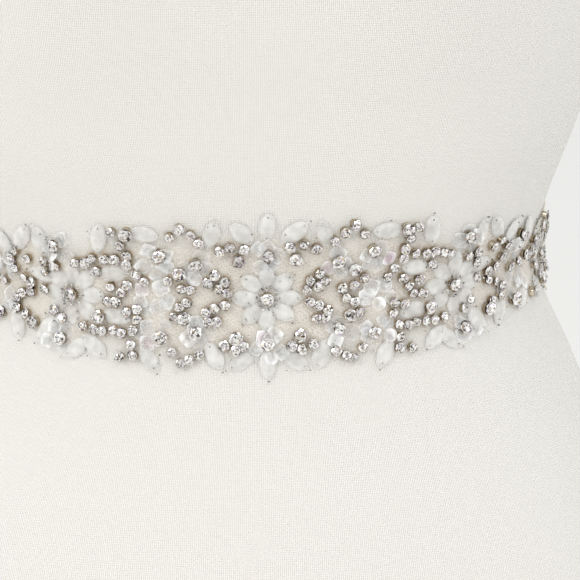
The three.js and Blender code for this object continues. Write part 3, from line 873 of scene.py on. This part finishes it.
def rounded(radius, height, size, start=0, end=90, steps=8):
    """Part of an outline that rounds a corner, from one angle to another in degrees."""
    angles = [math.radians(start + (end - start) * i / steps) for i in range(steps + 1)]
    return [(radius - size + size * math.cos(a), height - size + size * math.sin(a)) for a in angles]


FORM_FLOOR = WAIST_HEIGHT + LOW_LEVEL
NECK_TOP = WAIST_HEIGHT + HIGH_LEVEL
NECK_HALF_WIDTH, NECK_FRONT, NECK_BACK = FORM_SECTIONS[-1, 1:4]
NECK_MIDDLE = (NECK_BACK - NECK_FRONT) / 2


def round_base():
    edge = rounded(BASE_RADIUS, BASE_HEIGHT, BASE_EDGE)
    return turned("round_base", [(BASE_RADIUS - 1.2, 0), (BASE_RADIUS, 1.2)] + edge)


def turned_pole():
    low, high = BASE_HEIGHT + SEAM_GAP, FORM_FLOOR - SEAM_GAP
    foot = [(POLE_FOOT_RADIUS - 0.8, 0), (POLE_FOOT_RADIUS, 0.8)]
    foot += [
        (POLE_FOOT_RADIUS - 1.2 * (1 - math.cos(a)), 3 + 1.2 * math.sin(a)) for a in (0.8, 1.57)
    ]
    cove = [
        (POLE_RADIUS + 9.5 * (1 - math.sin(a)), 5.2 + 11 * (1 - math.cos(a)))
        for a in np.linspace(0.1, 1.57, 8)
    ]
    head = [
        (POLE_RADIUS + 19.5 * (1 - math.cos(a)), 16 - 8 * math.sin(a))
        for a in np.linspace(0, 1.3, 8)
    ]
    flange = [(FLANGE_RADIUS - 0.8, 5.6), (FLANGE_RADIUS, 4.8), (FLANGE_RADIUS, 0)]
    return turned(
        "turned_pole",
        [(r, low + z) for r, z in foot + cove] + [(r, high - z) for r, z in head + flange],
    )


def cap_board():
    radius = NECK_HALF_WIDTH + CAP_OVERHANG
    oval = ((NECK_FRONT + NECK_BACK) / 2 + CAP_OVERHANG) / radius
    edge = rounded(radius, CAP_HEIGHT - 1, 5, 0, 80)
    outline = [(radius - 1, 0), (radius, 1)] + edge + [(16, CAP_HEIGHT)]
    outline = [(r, NECK_TOP + SEAM_GAP + z) for r, z in outline]
    return turned("neck_cap_board", outline, (0, NECK_MIDDLE), oval)


def knob():
    """Ball on a short neck."""
    ball = [(10 * math.cos(a), 14 + 10 * math.sin(a)) for a in np.linspace(-1.05, 1.5, 16)]
    neck = [(9.4, 0), (10, 0.6), (10, 1.2), (8, 2), (6, 2.9), (5.1, 4.2)]
    bottom = NECK_TOP + CAP_HEIGHT + 2 * SEAM_GAP
    return turned("knob", [(r, bottom + z) for r, z in neck + ball], (0, NECK_MIDDLE))


def floor_board():
    """Board that closes the form from below, inside the turned hem of the cover."""
    piece = disc("floor_board", ROUND_CORNERS, 1)
    turns = turn_at(np.linspace(-HALF_WAIST, HALF_WAIST, ROUND_CORNERS, endpoint=False))
    points = form_points(turns, LOW_LEVEL)
    points[:, :2] *= FLOOR_BOARD["share"]
    points[:, 2] += FLOOR_BOARD["over_hem"]
    place_points(piece, points * MM)

    def thicken():
        select_all()
        extrude_up(FLOOR_BOARD["thick"] * MM)
        select_all()
        turn_faces_out()

    in_edit_mode(piece, thicken)
    apply_modifier(piece, "BEVEL", width=0.6 * MM, segments=2, limit_method="ANGLE")
    return piece


# Patterns of the small pieces, modelled once in millimetres, flat side down
def petal_pattern():
    """A navette bead: pointed at both ends, thin at the rim like a lens, nearly flat beneath."""
    deselect()
    rings = 10
    bpy.ops.mesh.primitive_uv_sphere_add(segments=10, ring_count=rings, radius=1)
    piece = finish_primitive("petal_pattern")

    def shape():
        select_all()
        rotate(90, "Y")
        for ring in range(1, rings):
            angle = math.pi * ring / rings
            x, pinch = math.cos(angle), math.sin(angle) ** 0.2
            select_where(piece, lambda co: abs(co.x - x) < 1e-3)
            resize(1, pinch, pinch, (x, 0, 0))
        select_all()
        resize(PETAL_LENGTH / 2, PETAL_WIDTH / 2, PETAL_THICK / 2)

    in_edit_mode(piece, shape)
    points = own_points(piece)
    lens = (np.abs(points[:, 2]) / (PETAL_THICK / 2)) ** 0.6
    points[:, 2] *= lens * np.where(points[:, 2] < 0, 0.3, 1)
    place_points(piece, points)
    smooth(piece)
    return piece


def stone_pattern():
    """Crown of a cut stone, 1 mm across: girdle, star facets and a flat table."""
    piece = disc("stone_pattern", 8, 0.4)
    levels = [(0.14, 1.25, 0), (0.05, 0.86, 22.5), (0.06, 0.76, 22.5), (0.03, 0.6, 22.5)]

    def shape():
        select_all()
        for rise, widen, turn in levels:
            extrude_up(rise)
            resize(widen, widen, 1)
            if turn:
                rotate(turn, "Z")
        bpy.ops.mesh.poke()
        select_all()
        bpy.ops.mesh.quads_convert_to_tris(quad_method="BEAUTY", ngon_method="BEAUTY")

    in_edit_mode(piece, shape)
    return tidy_mesh(piece)


def cup_pattern():
    """Claw cup for a stone 1 mm across: a dish whose four claws lean over the stone."""
    deselect()
    bpy.ops.mesh.primitive_cylinder_add(
        vertices=16, radius=0.41, depth=CUP_HEIGHT, location=(0, 0, CUP_HEIGHT / 2))
    piece = finish_primitive("cup_pattern")
    top = CUP_HEIGHT - 0.01

    def shape():
        select_where(piece, lambda co: co.z > top)
        resize(1.14, 1.14, 1)
        select_where(piece, lambda co: co.z > top, "FACE")
        bpy.ops.mesh.inset(thickness=0.05, depth=0)
        extrude_up(-0.14)

        def claw(co):
            turn = math.degrees(math.atan2(co.y, co.x)) - 11.25
            return co.z > top and math.hypot(co.x, co.y) > 0.42 and abs((turn + 45) % 90 - 45) < 3

        select_where(piece, claw, "FACE")
        for rise, lean in ((0.08, 1.14), (0.08, 1.0), (0.07, 0.82)):
            extrude_up(rise)
            resize(lean, lean, 1)

    in_edit_mode(piece, shape)
    tidy_mesh(piece)
    smooth(piece, 40)
    return piece


def sequin_pattern(name, squareness):
    """Sequin 1 mm across: flat rim, cupped middle, hole; a high squareness gives it corners."""
    piece = disc(name, 16, 0.5)

    def cup():
        select_all()
        for share, fall in ((0.24, 0), (0.07, -0.09), (0.13, -0.02)):
            bpy.ops.mesh.inset(thickness=share, depth=0)
            move(0, 0, fall)
        bpy.ops.mesh.delete(type="FACE")

    in_edit_mode(piece, cup)
    points = own_points(piece)
    out = np.hypot(points[:, 0], points[:, 1])
    ways = points[:, :2] / out[:, None]
    corner = np.sum(np.abs(ways) ** squareness, axis=1) ** (-1 / squareness)
    points[:, :2] *= (1 + (corner - 1) * smooth_step(out, 0.3, 0.5))[:, None]
    place_points(piece, points)
    smooth(piece)
    return piece


def seed_pattern():
    """Seed bead 1 mm across, its hole along the sash."""
    deselect()
    bpy.ops.mesh.primitive_torus_add(
        major_segments=8, minor_segments=6, major_radius=0.31, minor_radius=0.19, location=(0, 0, 0))
    piece = finish_primitive("seed_pattern")
    in_edit_mode(piece, lambda: (
        select_all(), rotate(90, "Y"), resize(1.2, 1, 1), move(0, 0, 0.5),
    ))
    smooth(piece)
    return piece


def stitch_pattern():
    """Thread 1 mm long that dips into the net at both ends."""
    deselect()
    bpy.ops.mesh.primitive_cylinder_add(vertices=5, radius=0.5, depth=1, end_fill_type="TRIFAN")
    piece = finish_primitive("stitch_pattern")

    def shape():
        select_all()
        rotate(90, "Y")
        for cut in (-0.3, 0, 0.3):
            select_all()
            bpy.ops.mesh.bisect(plane_co=(cut, 0, 0), plane_no=(1, 0, 0))
        select_where(piece, lambda co: abs(co.x) < 0.35)
        move(0, 0, 2)

    in_edit_mode(piece, shape)
    smooth(piece)
    return piece


def sew_on(name, pattern, places):
    """Copies of a pattern sewn to the sash, joined in one mesh.

    A place is (along, up, off, turn, tilt, size), or with a size for each way: the turn
    is on the cloth and the tilt lifts the end that the turn points to, both in degrees.
    """
    sizes = [p[5] if isinstance(p[5], tuple) else (p[5],) * 3 for p in places]
    places = np.array([[*p[:5], *size] for p, size in zip(places, sizes)], float)
    along, up, off = places[:, 0], places[:, 1], places[:, 2] + lift(places[:, 0])
    turn_round = turn_at(along)
    axes = np.stack(form_axes(turn_round, up), axis=-1)
    centres = form_points(turn_round, up) + off[:, None] * axes[:, :, 2]
    turn, tilt = np.radians(places[:, 3]), -np.radians(places[:, 4])
    zero, one = np.zeros(len(places)), np.ones(len(places))
    ct, st, cl, sl = np.cos(turn), np.sin(turn), np.cos(tilt), np.sin(tilt)
    spin = np.array([[ct, -st, zero], [st, ct, zero], [zero, zero, one]])
    lean = np.array([[cl, zero, sl], [zero, one, zero], [-sl, zero, cl]])
    shape = own_points(pattern)
    points = shape[None, :, :] * places[:, None, 5:8]
    points = np.einsum("pij,jkp,klp,pvl->pvi", axes, spin, lean, points) + centres[:, None, :]
    faces = [list(face.vertices) for face in pattern.data.polygons]
    count = len(shape)
    mesh = bpy.data.meshes.new(name)
    all_faces = [[corner + i * count for corner in face] for i in range(len(places)) for face in faces]
    mesh.from_pydata((points.reshape(-1, 3) * MM).tolist(), [], all_faces)
    flags = np.array([face.use_smooth for face in pattern.data.polygons])
    mesh.polygons.foreach_set("use_smooth", np.tile(flags, len(places)))
    add_values(mesh, "tone", "FACE", np.repeat(draw.random(len(places)), len(faces)))
    rim = np.hypot(shape[:, 0] / np.abs(shape[:, 0]).max(), shape[:, 1] / np.abs(shape[:, 1]).max())
    add_values(mesh, "rim", "POINT", np.tile(rim, len(places)))
    add_values(mesh, "facet", "FACE", draw.random(len(all_faces)))
    piece = add_object(name, mesh)
    bpy.data.objects.remove(pattern)
    return piece


def shaken(value, by):
    """A place moved a little, as hand sewing does."""
    return value + draw.uniform(-by, by)


def sewn_stones(places, by):
    """Right half as charted, left half its mirror image, all a little uneven."""
    rows = []
    for along, up in places:
        for side in halves(along):
            rows.append((shaken(side * along, by), shaken(up, by)))
    return rows


def stone_and_cup(size, name, rows):
    """Stones of one size and their cups, each leaning its own way."""
    ways = [(draw.uniform(0, 360), draw.uniform(0, 17), size * draw.uniform(0.92, 1.05)) for _ in rows]
    cups = [(a, u, BEADS_OFF, turn, tilt, own) for (a, u), (turn, tilt, own) in zip(rows, ways)]
    seat = CUP_HEIGHT - 0.12
    tops = [(a, u, off + seat * own, turn, tilt, own) for a, u, off, turn, tilt, own in cups]
    return sew_on(f"{name}_stones", stone_pattern(), tops), sew_on(f"{name}_cups", cup_pattern(), cups)


def sewn_petals():
    """All petals, lying on the net, each a little off its place, turn, tilt and size."""
    rows = []
    for petal in ALL_PETALS:
        long, wide = petal.get("size", (1, 1))
        own = draw.uniform(0.93, 1.05)
        size = (long * own, wide * own * draw.uniform(0.94, 1.06), own)
        rows.append((
            shaken(petal["along"], 0.35), shaken(petal["up"], 0.35),
            BEADS_OFF + 0.1 + draw.uniform(0, 0.35), petal["turn"] + draw.uniform(-7, 7),
            draw.uniform(-3, 4), size,
        ))
    return rows


def sequin_places():
    """Loose flowers of overlapping sequins, most dipping towards the flower's centre."""
    rows = []
    for flower in SEQUIN_FLOWERS:
        for side in halves(flower["along"]):
            start = draw.uniform(0, 360)
            for i in range(flower["sequins"]):
                angle = start + 360 * i / flower["sequins"] + draw.uniform(-24, 24)
                out = flower["out"] * draw.uniform(0.7, 1.2)
                place = around(side * flower["along"], flower["up"], out, angle)
                rows.append((
                    *place, BEADS_OFF + 0.8 + 0.16 * i, draw.uniform(0, 360), draw.uniform(-6, 24),
                    SEQUIN * draw.uniform(0.78, 1.08),
                ))
    return rows


def daisy_seeds():
    """A ring of seed beads round each daisy's stone."""
    rows = []
    for along, up in sewn_stones(DAISIES + SMALL_DAISIES, 0):
        for i in range(SEEDS_ROUND_DAISY):
            turn = 360 / SEEDS_ROUND_DAISY * i + draw.uniform(-8, 8)
            place = around(along, up, draw.uniform(4.0, 4.8), turn)
            rows.append((
                *place, BEADS_OFF + draw.uniform(0.6, 1.6), draw.uniform(0, 180), 0,
                SEED_BEAD * draw.uniform(0.75, 1.0),
            ))
    return rows


def loose_seeds(petals):
    """Small seed beads sewn here and there along the petals' sides."""
    rows = []
    for along, up, _, turn, *_ in petals:
        for _ in range(draw.integers(0, 4)):
            aside = turn + draw.choice([-1, 1]) * draw.uniform(25, 150)
            place = around(along, up, PETAL_WIDTH * draw.uniform(0.48, 0.75), aside)
            off = BEADS_OFF + draw.uniform(-0.2, 0.9)
            rows.append((*place, off, draw.uniform(0, 180), 0, draw.uniform(0.5, 0.9)))
    return rows


def petal_tips(petals):
    """Ends of each petal: seed beads at the holes and past the outer tips, with their threads."""
    seeds, threads = [], []
    for along, up, off, turn, tilt, size in petals:
        reach = size[0] * PETAL_LENGTH / 2
        for end in (1, -1):
            hole = around(along, up, reach * TIP_HOLE_SHARE * end, turn)
            seeds.append((*hole, off + 0.3 + 0.01 * tilt * end, turn, 0, 0.7))
            if around(along, up, reach * end, turn)[1] * up > up * up and draw.random() < 0.7:
                past = (reach + draw.uniform(0.4, 1.3)) * end
                seeds.append((*around(along, up, past, turn), off, turn, 0, draw.uniform(0.8, 1.1)))
                held = around(along, up, past * 0.97, turn)
                threads.append((*held, off - 0.2, turn, 0, (1.5, 0.14, 0.14)))
            stitch = around(along, up, reach * TIP_STITCH_SHARE * end, turn)
            threads.append((*stitch, off + 0.05, turn, 0, (reach * 0.4, THREAD_THICK, THREAD_THICK)))
    return seeds, threads


def hem_stitches():
    """Hand stitches that hold the right ribbon's end down on the left one."""
    along = HALF_WAIST + RIBBON_LAP / 2 - 2.4
    off = RIBBON_OFF + RIBBON_WALL + UPPER_LAYER_LIFT + 0.28
    rows = np.arange(-16, 17, 2.6)
    return [(along, up, off, draw.uniform(-14, 14), 0, (1.1, 0.17, 0.17)) for up in rows]


# Make everything
jersey, net, satin = jersey_finish(), tulle_finish(), satin_finish()
cover = finish_piece(form_cover(), jersey, "form_jersey", "form")
left_ribbon = finish_piece(ribbon("satin_ribbon_left", -1), satin, "ribbon_satin", "ribbon_left")
right_ribbon = finish_piece(ribbon("satin_ribbon_right", 1), satin, "ribbon_satin", "ribbon_right")

small_places = sewn_stones([place for row in STONE_ROWS.values() for place in row], 0.45)
large_places = sewn_stones(LARGE_STONES, 0.4)
centres = sewn_stones(DAISIES, 0.2)
small_centres = sewn_stones(SMALL_DAISIES, 0.2)
ground = finish_piece(tulle_ground(small_places + large_places), net, "tulle", "applique")
small_stones, small_cups = stone_and_cup(SMALL_STONE, "small", small_places + small_centres)
large_stones, large_cups = stone_and_cup(LARGE_STONE, "large", large_places + centres)
petal_places = sewn_petals()
seeds_at_tips, stitches = petal_tips(petal_places)
petals = sew_on("petal_beads", petal_pattern(), petal_places)
for piece in (petals, small_cups, large_cups):
    smooth(piece, 40)
all_sequins = sequin_places()
round_sequins = sew_on("round_sequins", sequin_pattern("round_pattern", 2.0), all_sequins[::4])
square_places = [place for i, place in enumerate(all_sequins) if i % 4]
square_sequins = sew_on("square_sequins", sequin_pattern("square_pattern", 7.0), square_places)
all_seeds = daisy_seeds() + seeds_at_tips + loose_seeds(petal_places)
seeds = sew_on("seed_beads", seed_pattern(), [row for row in all_seeds if abs(row[0]) < APPLIQUE_REACH - 2])
threads = sew_on("petal_stitches", stitch_pattern(), stitches)
hem = sew_on("hem_stitches", stitch_pattern(), hem_stitches())

crystal, plate, sequin, seed = stone_finish(), cup_finish(), sequin_finish(), seed_finish()
cotton = thread_finish()
for piece, material, slot in (
    (small_stones, crystal, "rhinestone"), (large_stones, crystal, "rhinestone"),
    (small_cups, plate, "claw_cup"), (large_cups, plate, "claw_cup"),
    (petals, petal_finish(), "petal_bead"), (round_sequins, sequin, "sequin"),
    (square_sequins, sequin, "sequin"), (seeds, seed, "seed_bead"),
    (threads, cotton, "sewing_thread"), (hem, cotton, "sewing_thread"),
):
    finish_piece(piece, material, slot)

wood_flat = wood_finish("beech board", (12.0, 160.0, 60.0))
wood_upright = wood_finish("turned beech", (150.0, 150.0, 14.0))
for piece, material, *replaced in (
    (round_base(), wood_flat, "base"), (turned_pole(), wood_upright, "pole"),
    (cap_board(), wood_flat, "neck_cap"), (knob(), wood_upright, "finial"),
    (floor_board(), wood_flat),
):
    finish_piece(piece, material, "form_wood", *replaced)


# Camera at the photo's angle: azimuth 5 degrees to the left and 14.6 above
CAMERA_AZIMUTH, CAMERA_ELEVATION = math.radians(-5.08), math.radians(14.6)
CAMERA_AWAY = 0.95
AIM = Vector((0, -88, WAIST_HEIGHT)) * MM
FRAME_WIDTH_AT_AIM = 0.2204
AIM_RIGHT_OF, AIM_UNDER = 8.74 * MM, 2.66 * MM
SENSOR = 36

data = bpy.data.cameras.new("camera")
camera = add_object("camera", data)
bpy.context.scene.camera = camera
back = Vector((
    math.sin(CAMERA_AZIMUTH) * math.cos(CAMERA_ELEVATION),
    -math.cos(CAMERA_AZIMUTH) * math.cos(CAMERA_ELEVATION),
    math.sin(CAMERA_ELEVATION),
))
right = Vector((math.cos(CAMERA_AZIMUTH), math.sin(CAMERA_AZIMUTH), 0))
above = back.cross(right)
camera.location = AIM + back * CAMERA_AWAY
aim(camera, AIM + right * AIM_RIGHT_OF + above * AIM_UNDER)
data.sensor_width = SENSOR
data.lens = SENSOR * CAMERA_AWAY / FRAME_WIDTH_AT_AIM
data.clip_end = 60


LIT_MIDDLE = (0, 0, 0.31)


def soft_light(name, place, size, power, colour=(1, 1, 1)):
    """Large soft lamp, out of the camera's sight."""
    lamp = bpy.data.lights.new(name, "AREA")
    lamp.shape, lamp.size, lamp.energy, lamp.color = "DISK", size, power, colour
    made = add_object(name, lamp)
    made.location = place
    aim(made, LIT_MIDDLE)
    made.visible_camera = False


soft_light("window_light", (-1.5, -1.5, 1.5), 1.1, 16, (1, 0.985, 0.96))
soft_light("sparkle_light", (0.5, -1.4, 1.9), 0.25, 5)
soft_light("wall_light", (1.9, -0.9, 0.6), 1.4, 4)

world = bpy.data.worlds.new("studio")
bpy.context.scene.world = world
world.use_nodes = True
sky = world.node_tree.nodes["Background"].inputs
sky["Color"].default_value = (0.985, 0.995, 1.0, 1)
sky["Strength"].default_value = 0.97
bpy.context.scene.view_settings.view_transform = "Standard"

deselect()
bpy.ops.mesh.primitive_plane_add(size=30)
floor = finish_primitive("studio_floor")
pale = Finish("pale floor", Roughness=0.85)
pale.colour(pale.mix(pale.noise(pale.place(), 1.5), (0.80, 0.79, 0.77), (0.83, 0.82, 0.80)))
floor.data.materials.append(pale.material)
